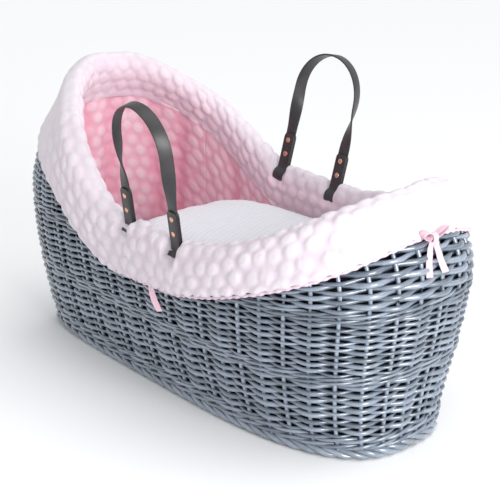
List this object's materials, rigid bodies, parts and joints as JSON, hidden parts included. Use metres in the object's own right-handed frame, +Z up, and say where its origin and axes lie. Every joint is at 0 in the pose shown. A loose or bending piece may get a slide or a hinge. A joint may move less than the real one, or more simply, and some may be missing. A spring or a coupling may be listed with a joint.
{
  "type": "moses basket",
  "caption": "Hooded woven moses basket with a padded plush dressing, a mattress, a ribbed coverlet and two swinging leather carrying handles.",
  "frame": {"origin": "on the floor under the middle of the woven base", "axes": "+Z up, +X towards the foot end, hood at -X, near side at -Y"},
  "size_m": [0.8572, 0.4736, 0.5095],
  "materials": {
    "bare_wood": "raw sawn board",
    "painted_willow": "satin grey paint over willow rods",
    "mattress_cover": "plain quilted cotton",
    "ribbed_fleece": "fine ribbed fleece",
    "pink_plush": "dimple plush",
    "pale_plush": "dimple plush",
    "ribbon": "satin ribbon",
    "dark_leather": "smooth coated leather",
    "copper_rivet": "polished copper-coloured rivets"
  },
  "bodies": {
    "basket": {"foot_border": "painted_willow", "base_board": "bare_wood", "bottom_wale": "painted_willow", "lower_weave": "painted_willow", "middle_wale": "painted_willow", "upper_weave": "painted_willow", "upper_wale": "painted_willow", "near_side_rows": "painted_willow", "far_side_rows": "painted_willow", "foot_packing": "painted_willow", "hood_weave": "painted_willow", "rim_border": "painted_willow", "stakes": "painted_willow", "head_lining": "pink_plush", "near_lining": "pink_plush", "far_lining": "pink_plush", "foot_lining": "pink_plush", "rim_roll": "pale_plush", "elastic_hem": "pink_plush", "near_tie": "ribbon", "far_tie": "ribbon", "foot_bow": "ribbon"},
    "mattress_body": {"mattress": "mattress_cover"},
    "coverlet_body": {"coverlet": "ribbed_fleece"},
    "near_handle": {"near_handle_strap": "dark_leather", "near_handle_tabs": "dark_leather", "near_handle_rivets": "copper_rivet"},
    "far_handle": {"far_handle_strap": "dark_leather", "far_handle_tabs": "dark_leather", "far_handle_rivets": "copper_rivet"}
  },
  "joints": [
    {"name": "near_handle_swing", "type": "hinge", "parent": "basket", "child": "near_handle", "pos_m": [0.032, -0.18564, 0.27621], "axis": [0.9974, -0.0376, -0.0609], "range_deg": [-59, 36]},
    {"name": "far_handle_swing", "type": "hinge", "parent": "basket", "child": "far_handle", "pos_m": [-0.013, 0.18383, 0.2814], "axis": [-0.9929, -0.0475, 0.1094], "range_deg": [-61, 34]},
    {"name": "mattress_lift", "type": "slide", "parent": "basket", "child": "mattress_body", "axis": [0, 0, 1], "range_m": [0, 0.015]},
    {"name": "coverlet_lift", "type": "slide", "parent": "mattress_body", "child": "coverlet_body", "axis": [0, 0, 1], "range_m": [0, 0.025]}
  ]
}
